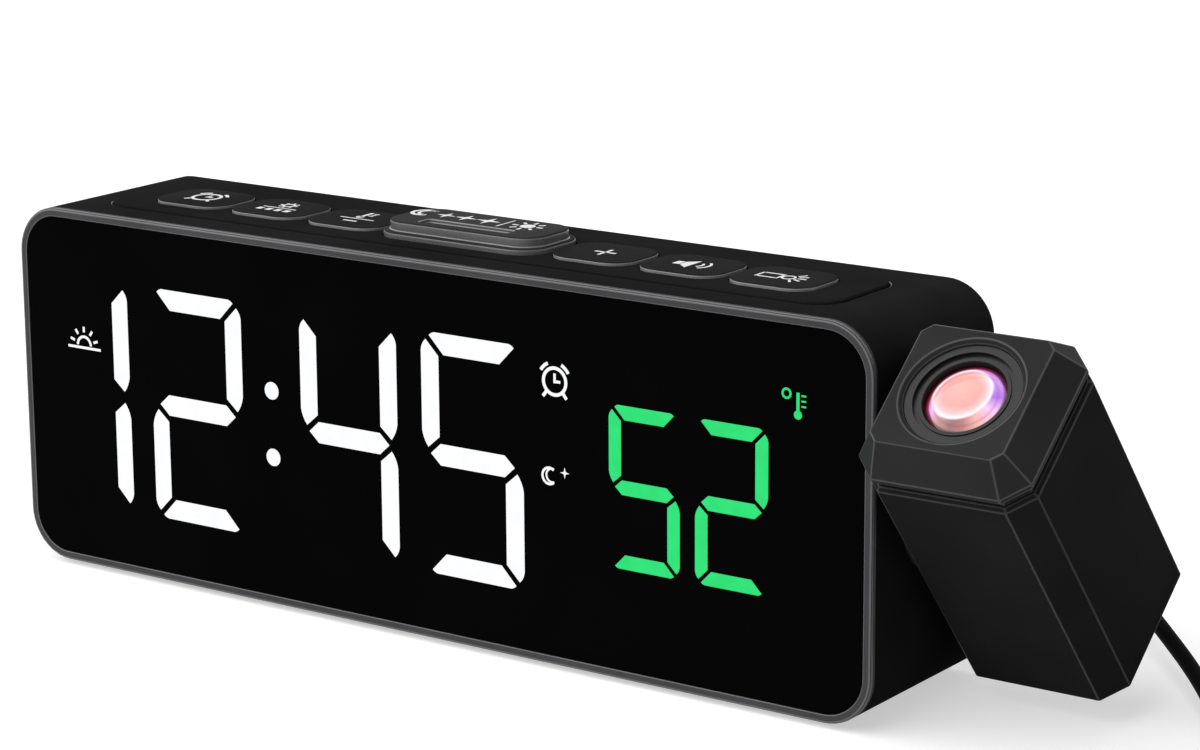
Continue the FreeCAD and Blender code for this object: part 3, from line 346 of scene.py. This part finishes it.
# Lamp bodies: clear epoxy over yellow phosphor, cast in a small cup and soldered to the board.
# The phosphor shows through as a warm pale yellow.
lamp_epoxy, tree, shader, place = start_material("cast_yellow_epoxy")
cast_mm = 0.8
cast = add_node(tree, "ShaderNodeTexNoise", {"Scale": 1 / (cast_mm * MM)}, {"Vector": place})
tree.links.new(two_tones(tree, cast.outputs["Fac"], "#DCCB8A", "#F0E2A8"),
               shader.inputs["Base Color"])
shader.inputs["Roughness"].default_value = 0.2
finish(lamp_epoxy, "display_lamps", "projector_lamp")


# Small metal parts: screws, spacers, springs and plugs. The steel is zinc plated and bright, with
# fine turning marks, and the brass is bare.
def turned_metal(name, dark, light, roughness):
    made, tree, shader, place = start_material(name)
    mark_mm = 0.5
    gloss_change = 0.06
    marks = add_node(tree, "ShaderNodeTexNoise", {"Scale": 1 / (mark_mm * MM)}, {"Vector": place})
    tree.links.new(two_tones(tree, marks.outputs["Fac"], dark, light),
                   shader.inputs["Base Color"])
    spread = add_node(tree, "ShaderNodeMapRange",
                      {"To Min": roughness - gloss_change, "To Max": roughness + gloss_change},
                      {"Value": marks.outputs["Fac"]})
    tree.links.new(spread.outputs["Result"], shader.inputs["Roughness"])
    shader.inputs["Metallic"].default_value = 1.0
    return made


zinc_steel = turned_metal("zinc_plated_steel", "#A9ABAE", "#C2C4C7", 0.3)
bare_brass = turned_metal("turned_brass", "#C9A24E", "#DDB963", 0.28)
finish(zinc_steel, "display_screws", "case_screws", "hub_screws", "retaining_clip",
       "spring_washer", "backup_cell", "speaker_frame", "speaker_magnet", "usb_plug_shell")
finish(bare_brass, "board_spacers", "inlet_plug")

# Ribbon cable: grey vinyl over seven flat wires, pressed in one strip. It joins the two boards
# and has the dull, slightly waxy look of soft vinyl.
ribbon_vinyl = moulded_plastic("grey_ribbon_vinyl", "#A8A8A4", "#B8B8B4",
                               roughness=0.5, grain_mm=0.6, relief_mm=0.01, specular=0.4)
finish(ribbon_vinyl, "ribbon_cable")

# Speaker cone: black paper pulp, pressed to shape and glued in the steel frame. Its fibres leave
# a rough face with no shine.
paper_pulp = moulded_plastic("pressed_paper_pulp", "#1C1B1A", "#2A2927",
                             roughness=0.85, grain_mm=0.5, relief_mm=0.04, specular=0.1)
finish(paper_pulp, "speaker_cone")

# Anti-slip pad: black silicone rubber, die cut from a sheet and glued under the case. It is
# matt and a shade darker than the case.
pad_rubber = moulded_plastic("black_silicone_rubber", "#141414", "#1B1B1B",
                             roughness=0.7, grain_mm=0.5, relief_mm=0.02, specular=0.25)
finish(pad_rubber, "anti_slip_pad")

# Rear cover and battery door: the same spark-eroded black ABS as the case, screwed on from
# behind. The speaker grille is moulded in the cover.
softened("rear_cover", "rear_cover_moulding", case_abs, edge_mm=0.25)
softened("battery_door", "battery_door_moulding", case_abs, edge_mm=0.2)

# Key panel, keys and snooze bar: black ABS with a finer, slightly silkier grain than the case.
# Each key is a cap of its own, and the panel is a thin plate glued into the top of the case.
panel_abs = moulded_plastic("fine_grain_black_abs", "#1C1C1D", "#212122",
                            roughness=0.55, grain_mm=0.18, relief_mm=0.008, specular=0.0004)
key_abs = moulded_plastic("silky_black_abs", "#202021", "#262627",
                          roughness=0.48, grain_mm=0.16, relief_mm=0.006, specular=0.001)
# The key edges and upright key walls are painted a light grey, a painted highlight on the black
# caps.
key_edge_painted_highlight = moulded_plastic("painted_highlight_key_edge", "#707072", "#7E7E80",
                           roughness=0.3, grain_mm=0.5, relief_mm=0.004, specular=0.5)
softened("key_panel", "key_panel_moulding", panel_abs, edge_mm=0.1)
key_names = ("alarm_key", "set_key", "minus_key", "plus_key", "volume_key", "projector_key")


# Gives the upright faces of a cap the lighter material in the given slot, which paints them as
# lit.
def paint_sides_lighter(piece, material_place):
    level_top = 0.5
    for face in piece.data.polygons:
        if abs(face.normal.z) < level_top:
            face.material_index = material_place


for key in key_names:
    key_cap = softened(key, key + "_cap", key_abs, edge_mm=0.25, edge_material=key_edge_painted_highlight)
    paint_sides_lighter(key_cap, material_place=1)

# Snooze bar: a longer cap of the same black ABS on a flange. Its top is matt, and its sides are
# glossier and painted a much lighter grey, a painted reflection of the pale room in front of
# them.
bar_abs = moulded_plastic("matt_bar_top_abs", "#2A2A2B", "#323233",
                          roughness=0.4, grain_mm=0.3, relief_mm=0.003, specular=0.003)
bar_side_painted_reflection = moulded_plastic("glossy_bar_side_abs_painted_reflection", "#545455", "#626263",
                           roughness=0.25, grain_mm=0.3, relief_mm=0.003, specular=0.5)
snooze_cap = softened("snooze_bar", "snooze_bar_cap", bar_abs, edge_mm=0.22,
                      edge_material=key_edge_painted_highlight)
snooze_cap.data.materials.append(bar_side_painted_reflection)
paint_sides_lighter(snooze_cap, material_place=2)

# Key signs: pad printed in white ink, a film that stands a little proud of each cap. They are
# plain pictures of what each key does.
print_ink, tree, shader, place = start_material("pad_printed_white_ink")
film_mm = 0.6
film = add_node(tree, "ShaderNodeTexNoise", {"Scale": 1 / (film_mm * MM)}, {"Vector": place})
tree.links.new(two_tones(tree, film.outputs["Fac"], "#E2E2E2", "#F4F4F4"),
               shader.inputs["Base Color"])
shader.inputs["Roughness"].default_value = 0.55
shader.inputs["Specular IOR Level"].default_value = 0.3


def print_on(sketch, node, name, shift=(0, 0)):
    low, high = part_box(node)
    middle = ((low[0] + high[0]) / 2 + shift[0] * MM, (low[1] + high[1]) / 2 + shift[1] * MM)
    place = Matrix.Translation((middle[0], middle[1], high[2]))
    return raise_print(sketch, name, place, print_ink, body_of[node])


sketch = bmesh.new()
draw_alarm_clock(sketch, centre=(0, 0.2), radius=2.8, stroke=0.7)
print_on(sketch, "alarm_key", "alarm_key_sign")

rule_height = 0.35
rule_ends = ((-4.0, -0.4), (4.0, -0.4))
gear_centre = (0, 2.4)
square_width, square_height = 1.3, 1.5
square_row_y = -2.3
sketch = bmesh.new()
bow(sketch, gear_centre, radius=1.15, width=0.55)
draw_sun(sketch, gear_centre, radius=1.3, ray_end=2.05, stroke=0.5)
bar(sketch, *rule_ends, width=rule_height)
for square_x in (-3.3, -1.1, 1.1, 3.3):
    bar(sketch, (square_x - square_width / 2, square_row_y),
        (square_x + square_width / 2, square_row_y), width=square_height)
print_on(sketch, "set_key", "set_key_sign")

sketch = bmesh.new()
draw_thermometer(sketch, foot=(-0.6, 0.4), height=4.8, stroke=0.75)
bar(sketch, *rule_ends, width=rule_height)
bar(sketch, (-1.6, -2.6), (1.6, -2.6), width=0.6)
print_on(sketch, "minus_key", "minus_key_sign")

plus_reach = 2.3
sketch = bmesh.new()
bar(sketch, (-plus_reach, 0), (plus_reach, 0), width=0.6)
bar(sketch, (0, -plus_reach), (0, plus_reach), width=0.6)
print_on(sketch, "plus_key", "plus_key_sign")

sketch = bmesh.new()
plate(sketch, ((-3.8, -1.1), (-2.3, -1.1), (-2.3, 1.1), (-3.8, 1.1)))
plate(sketch, ((-2.1, -1.1), (0, -2.9), (0, 2.9), (-2.1, 1.1)))
for wave_radius in (1.7, 3.1):
    bow(sketch, (0.2, 0), wave_radius, width=0.5, start=-48, sweep=96, steps=14)
print_on(sketch, "volume_key", "volume_key_sign")

box_left, box_right, box_half = -4.9, -0.6, 1.5
eye = (1.0, 0)
stroke = 0.45
corner_reach = box_half + 0.2
sketch = bmesh.new()
for y in (-box_half, box_half):
    bar(sketch, (box_left, y), (box_right, y), width=stroke)
for x in (box_left, box_right):
    bar(sketch, (x, -corner_reach), (x, corner_reach), width=stroke)
bow(sketch, eye, radius=1.2, width=stroke)
draw_sun(sketch, eye, radius=1.9, ray_end=3.6, stroke=stroke, first_ray=-56, last_ray=56,
         ray_step=28)
print_on(sketch, "projector_key", "projector_key_sign")

sun_centre = (9.6, 0)
rule_x, rule_reach = 4.6, 3.0
sketch = bmesh.new()
draw_moon(sketch, centre=(-14.4, 0), radius=2.3, stroke=0.8)
for star_x, reach in ((-9.2, 2.1), (-4.6, 2.4), (0.6, 2.7)):
    draw_star(sketch, (star_x, 0), reach)
bar(sketch, (rule_x, -rule_reach), (rule_x, rule_reach), width=0.35)
dot(sketch, sun_centre, radius=1.5)
draw_sun(sketch, sun_centre, radius=2.1, ray_end=3.4, stroke=0.6)
print_on(sketch, "snooze_bar", "snooze_bar_sign", shift=(0, 2.2))

# Projector: a black ABS box on a hollow pivot, with a chamfered cap over it. Its grain is as
# fine as the case's, and its moulded edges have a small radius, painted a lighter grey as a
# painted highlight.
projector_abs = moulded_plastic("spark_eroded_projector_abs", "#202021", "#252526",
                                roughness=0.5, grain_mm=0.2, relief_mm=0.008, specular=0.003)
cap_abs = moulded_plastic("satin_cap_abs", "#2A2A2B", "#303031",
                          roughness=0.42, grain_mm=0.25, relief_mm=0.005, specular=0.02)
cap_edge_painted_highlight = moulded_plastic("projector_edge_painted_highlight", "#363637", "#404041",
                                 roughness=0.4, grain_mm=0.5, relief_mm=0.004, specular=0.25)
box_edge_painted_highlight = moulded_plastic("painted_highlight_box_edge", "#2C2C2D", "#343435",
                           roughness=0.4, grain_mm=0.5, relief_mm=0.004, specular=0.15)
softened("projector_housing", "projector_housing_moulding", projector_abs, edge_mm=0.2,
         edge_material=box_edge_painted_highlight)
softened("projector_cap", "projector_cap_moulding", cap_abs, edge_mm=0.2,
         edge_material=cap_edge_painted_highlight)

# Focus ring and lens cell: a satin black ring of moulded ABS that a fingertip turns, and the
# black cell that it drives in and out of the cap.
ring_abs = moulded_plastic("satin_black_ring_abs", "#141415", "#1A1A1B",
                           roughness=0.35, grain_mm=0.3, relief_mm=0.006, specular=0.25)
finish(ring_abs, "focus_ring", "lens_cell")

# Projection lens: a clear moulded lens, lit from behind by the red lamp. Its middle is a
# pale red glow, and the rim breaks the light into purple, pink and brown.
lens_low, lens_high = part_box("projection_lens")
lens_tilt = math.radians(40)
lens_middle = [(a + b) / 2 for a, b in zip(lens_low, lens_high)]
lens_radius_mm = 7.3
lit_lens, tree, shader, place = start_material("clear_acrylic_lens_lit_red")
centred = add_node(tree, "ShaderNodeMapping",
                   {"vector_type": "TEXTURE", "Location": lens_middle,
                    "Rotation": (lens_tilt, 0, 0),
                    "Scale": (lens_radius_mm * MM, lens_radius_mm * MM, lens_radius_mm * MM)},
                   {"Vector": place})
across = add_node(tree, "ShaderNodeSeparateXYZ", {}, {"Vector": centred.outputs["Vector"]})
flat = add_node(tree, "ShaderNodeCombineXYZ", {},
                {"X": across.outputs["X"], "Y": across.outputs["Y"]})


def colour_run(tree, factor, stops):
    run = add_node(tree, "ShaderNodeValToRGB", {}, {"Fac": factor})
    for position, code in stops[2:]:
        run.color_ramp.elements.new(position)
    for element, (position, code) in zip(run.color_ramp.elements, stops):
        element.position = position
        element.color = linear(code)
    return run.outputs["Color"]


def away_from(tree, place, centre):
    step = add_node(tree, "ShaderNodeVectorMath", {"operation": "DISTANCE"})
    tree.links.new(place, step.inputs[0])
    step.inputs[1].default_value = centre
    return step.outputs["Value"]


round_about = add_node(tree, "ShaderNodeMath", {"operation": "ARCTAN2"})
tree.links.new(across.outputs["Y"], round_about.inputs[0])
tree.links.new(across.outputs["X"], round_about.inputs[1])
turn_part = add_node(tree, "ShaderNodeMapRange", {"From Min": -math.pi, "From Max": math.pi},
                     {"Value": round_about.outputs["Value"]})
rim_tones = ((0.0, "#E83850"), (0.08, "#F8A8F0"), (0.16, "#C08880"), (0.24, "#8A5650"),
             (0.3, "#B0605A"), (0.38, "#F0B0A8"), (0.46, "#F4C4F0"), (0.54, "#A85CE4"),
             (0.66, "#D49AF2"), (0.8, "#E870B0"), (0.9, "#E03048"), (1.0, "#E83850"))
rim_colour = colour_run(tree, turn_part.outputs["Result"], rim_tones)
core_tones = ((0.0, "#FFB4A8"), (0.45, "#FFA8A0"), (0.6, "#FFC4C4"), (0.7, "#FFF4FA"))
core_centre = (-0.14, 0.12, 0)
core_end, rim_start = 0.7, 0.76
from_core = away_from(tree, flat.outputs["Vector"], core_centre)
core_colour = colour_run(tree, from_core, core_tones)
core_part = add_node(tree, "ShaderNodeMapRange", {"From Min": core_end, "From Max": rim_start},
                     {"Value": from_core})
shade = add_node(tree, "ShaderNodeMix", {"data_type": "RGBA"})
tree.links.new(core_part.outputs["Result"], shade.inputs[0])
tree.links.new(core_colour, shade.inputs[6])
tree.links.new(rim_colour, shade.inputs[7])
shells = ((0.0, "#FFFFFF"), (0.7, "#FFFFFF"), (0.76, "#E0D4E0"), (0.8, "#FFFFFF"),
          (0.86, "#FFFFFF"), (0.89, "#9A6A76"), (0.95, "#4A1C20"), (1.0, "#1A060A"))
dimmed = add_node(tree, "ShaderNodeMix", {"data_type": "RGBA", "blend_type": "MULTIPLY"})
dimmed.inputs[0].default_value = 1.0
tree.links.new(shade.outputs[2], dimmed.inputs[6])
tree.links.new(colour_run(tree, away_from(tree, flat.outputs["Vector"], (0, 0, 0)), shells),
               dimmed.inputs[7])
tree.links.new(dimmed.outputs[2], shader.inputs["Emission Color"])
shader.inputs["Emission Strength"].default_value = 1.0
shader.inputs["Base Color"].default_value = linear("#200810")
shader.inputs["Roughness"].default_value = 0.05
shader.inputs["IOR"].default_value = 1.49
finish(lit_lens, "projection_lens")

# Inner optics: the condenser lens and the small liquid-crystal plate that carries the digits.
# Both are clear, polished and colourless.
inner_glass, tree, shader, place = start_material("clear_optical_glass")
tint_mm = 4
tint = add_node(tree, "ShaderNodeTexNoise", {"Scale": 1 / (tint_mm * MM)}, {"Vector": place})
tree.links.new(two_tones(tree, tint.outputs["Fac"], "#F2F4F4", "#FFFFFF"),
               shader.inputs["Base Color"])
shader.inputs["Roughness"].default_value = 0.03
shader.inputs["IOR"].default_value = 1.5
shader.inputs["Transmission Weight"].default_value = 0.9
finish(inner_glass, "condenser_lens", "time_lcd")

# Supply cord: a round two-core lead in soft black vinyl with a smooth, slightly glossy jacket.
# It leaves the plug at the back, bends round the projector and lies in a loose coil.
cord_vinyl = moulded_plastic("soft_black_cord_vinyl", "#070707", "#0B0B0B",
                             roughness=0.42, grain_mm=0.8, relief_mm=0.003, specular=0.004)
finish(cord_vinyl, "inlet_plug_body", "usb_plug_body", "projector_wires")
cord_diameter_mm = 3.0
cord_run_mm = ((72, 38.5, 14), (72, 47, 14), (78.6, 58, 12.8), (91.2, 62.4, 10.8),
               (104, 60.2, 8.9), (117.8, 46.8, 6.6), (134.6, 28.9, 4.6), (147.2, 12.6, 2.6),
               (155.6, -0.8, 1.7), (166.6, -9.5, 1.5), (181, -9.5, 1.5))
tail_run_mm = ((204.6, 15, 12.3), (204.6, 25, 12.3), (201.8, 38, 9.2), (192, 47.6, 6.2),
               (181.5, 51.6, 4), (172.5, 51.6, 4))
coil_x, coil_y = 184.0, 12.0
coil_top_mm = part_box("cord_coil")[1][2] / MM
route = [Vector(point) for point in cord_run_mm]
outer_radius, inner_radius = 21.5, 12.5
layer_height = 3.6
last_layer = 3
quarters_in_layer = 12
quarters_in_coil = 45
steps_in_quarter = 4
bulge = 1 / math.cos(math.radians(90 / steps_in_quarter) / 2)


def coil_point(quarter):
    layer = min(int(quarter // quarters_in_layer), last_layer)
    within = quarter - quarters_in_layer * layer
    flat_quarters = 9 if layer == last_layer else 10
    outward = layer % 2 == 0
    first, last = (outer_radius, inner_radius) if outward else (inner_radius, outer_radius)
    run = min(within / flat_quarters, 1)
    radius = first + (last - first) * run
    climb = max(within - flat_quarters, 0) / 2
    height = cord_diameter_mm / 2 + layer_height * (layer + climb)
    angle = math.radians(-90 + 90 * quarter)
    return Vector((coil_x + radius * bulge * math.cos(angle),
                   coil_y + radius * bulge * math.sin(angle), height))


for step in range(1, quarters_in_coil * steps_in_quarter):
    route.append(coil_point(step / steps_in_quarter))
route.extend(Vector(point) for point in tail_run_mm)
cord_line = bpy.data.curves.new("supply_cord", "CURVE")
cord_line.dimensions = "3D"
cord_line.bevel_depth = cord_diameter_mm / 2 * MM
cord_line.bevel_resolution = 4
cord_line.resolution_u = 6
cord_line.use_fill_caps = True
spline = cord_line.splines.new("NURBS")
spline.points.add(len(route) - 1)
for knot, point in zip(spline.points, route):
    knot.co = (*(point * MM), 1)
spline.order_u = 3
spline.use_endpoint_u = True
cord_line.materials.append(cord_vinyl)
supply_cord = bpy.data.objects.new("supply_cord", cord_line)
bpy.context.scene.collection.objects.link(supply_cord)
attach(supply_cord, "clock")
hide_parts("power_cord", "cord_coil", "cord_tail")

# Cord tie: a strap of woven hook-and-loop tape closed round the turns of the coil. The loops
# make it dull and slightly furry.
tie_thickness_mm = 0.35
tie_width_mm = 7
tie_fabric = moulded_plastic("black_hook_and_loop_tape", "#131313", "#1E1E1E",
                             roughness=0.9, grain_mm=0.4, relief_mm=0.05, specular=0.05)
reach_x = (outer_radius - inner_radius + cord_diameter_mm) / 2 + tie_thickness_mm
reach_z = coil_top_mm / 2
tie_corner_mm = 1.4
sketch = bmesh.new()
bmesh.ops.create_grid(sketch, x_segments=1, y_segments=1, size=0.5)
bmesh.ops.delete(sketch, geom=list(sketch.faces), context="FACES_ONLY")
bmesh.ops.transform(sketch, verts=sketch.verts, matrix=Matrix.Translation(
    (coil_x - (outer_radius + inner_radius) / 2, coil_y - tie_width_mm / 2, reach_z))
    @ Matrix.Rotation(math.pi / 2, 4, "X") @ Matrix.Diagonal((reach_x * 2, reach_z * 2, 1, 1)))
bmesh.ops.bevel(sketch, geom=list(sketch.verts), offset=tie_corner_mm, affect="VERTICES",
                segments=6, profile=0.5, material=-1)
band = bmesh.ops.extrude_edge_only(sketch, edges=list(sketch.edges))
grown = [part for part in band["geom"] if isinstance(part, bmesh.types.BMVert)]
bmesh.ops.translate(sketch, verts=grown, vec=(0, tie_width_mm, 0))
bmesh.ops.recalc_face_normals(sketch, faces=sketch.faces)
bmesh.ops.solidify(sketch, geom=list(sketch.faces), thickness=tie_thickness_mm)
bmesh.ops.transform(sketch, verts=sketch.verts, matrix=Matrix.Scale(MM, 4))
add_piece(sketch, "cord_tie", tie_fabric, "clock")

# Floor: a wide white table that runs out of view. What the camera and mirrors see of it is a
# little brighter than its lit colour, so that it meets the white background.
table_reach = 40
floor_sketch = bmesh.new()
bmesh.ops.create_grid(floor_sketch, x_segments=1, y_segments=1, size=table_reach)
floor_data = bpy.data.meshes.new("table_top")
floor_sketch.to_mesh(floor_data)
floor_sketch.free()
table_paint, tree, shader, _ = start_material("white_table_paint")
rays = add_node(tree, "ShaderNodeLightPath")


def seen_ray(tree, rays):
    most = add_node(tree, "ShaderNodeMath", {"operation": "MAXIMUM"})
    tree.links.new(rays.outputs["Is Camera Ray"], most.inputs[0])
    tree.links.new(rays.outputs["Is Glossy Ray"], most.inputs[1])
    all_seen = add_node(tree, "ShaderNodeMath", {"operation": "MAXIMUM"})
    tree.links.new(most.outputs["Value"], all_seen.inputs[0])
    tree.links.new(rays.outputs["Is Transmission Ray"], all_seen.inputs[1])
    return all_seen.outputs["Value"]


lift = add_node(tree, "ShaderNodeMapRange", {"To Min": 0.0, "To Max": 0.52},
                {"Value": seen_ray(tree, rays)})
shader.inputs["Base Color"].default_value = linear("#D6D6D6")
shader.inputs["Roughness"].default_value = 0.7
shader.inputs["Specular IOR Level"].default_value = 0.0
shader.inputs["Emission Color"].default_value = (1, 1, 1, 1)
tree.links.new(lift.outputs["Result"], shader.inputs["Emission Strength"])
floor_data.materials.append(table_paint)
table_top = bpy.data.objects.new("table_top", floor_data)
bpy.context.scene.collection.objects.link(table_top)

# Studio light: a white room all round, one very soft lamp high above the front left, and a
# weaker one low on the same side, which lights the upright faces.
world = bpy.data.worlds.new("white_studio")
bpy.context.scene.world = world
world.use_nodes = True
tree = world.node_tree
rays = add_node(tree, "ShaderNodeLightPath")
level = add_node(tree, "ShaderNodeMapRange", {"To Min": 0.31, "To Max": 1.0},
                 {"Value": seen_ray(tree, rays)})
tree.nodes["Background"].inputs["Color"].default_value = (1, 1, 1, 1)
tree.links.new(level.outputs["Result"], tree.nodes["Background"].inputs["Strength"])


def hang_lamp(name, energy, width, tilt, turn):
    data = bpy.data.lights.new(name, "SUN")
    data.energy = energy
    data.angle = math.radians(width)
    lamp = bpy.data.objects.new(name, data)
    tilted = Matrix.Rotation(math.radians(tilt), 4, "X")
    lamp.matrix_world = Matrix.Rotation(math.radians(turn), 4, "Z") @ tilted
    bpy.context.scene.collection.objects.link(lamp)


hang_lamp("high_lamp", energy=1.95, width=80, tilt=33, turn=-42)
hang_lamp("low_lamp", energy=1.5, width=110, tilt=84, turn=-32)

# Camera: at the photograph's place, to the right of the clock's front and a little above it,
# with its long lens.
camera_data = bpy.data.cameras.new("camera")
camera_data.lens = 108.39
camera_data.sensor_width = 36
camera_data.clip_start = 0.01
camera = bpy.data.objects.new("camera", camera_data)
camera.location = (0.396475, -0.5230, 0.2065)
camera.rotation_euler = [math.radians(angle) for angle in (76.2802, 0.3399, 35.1405)]
bpy.context.scene.collection.objects.link(camera)
bpy.context.scene.camera = camera
bpy.context.scene.view_settings.view_transform = "Standard"

bpy.context.view_layer.update()
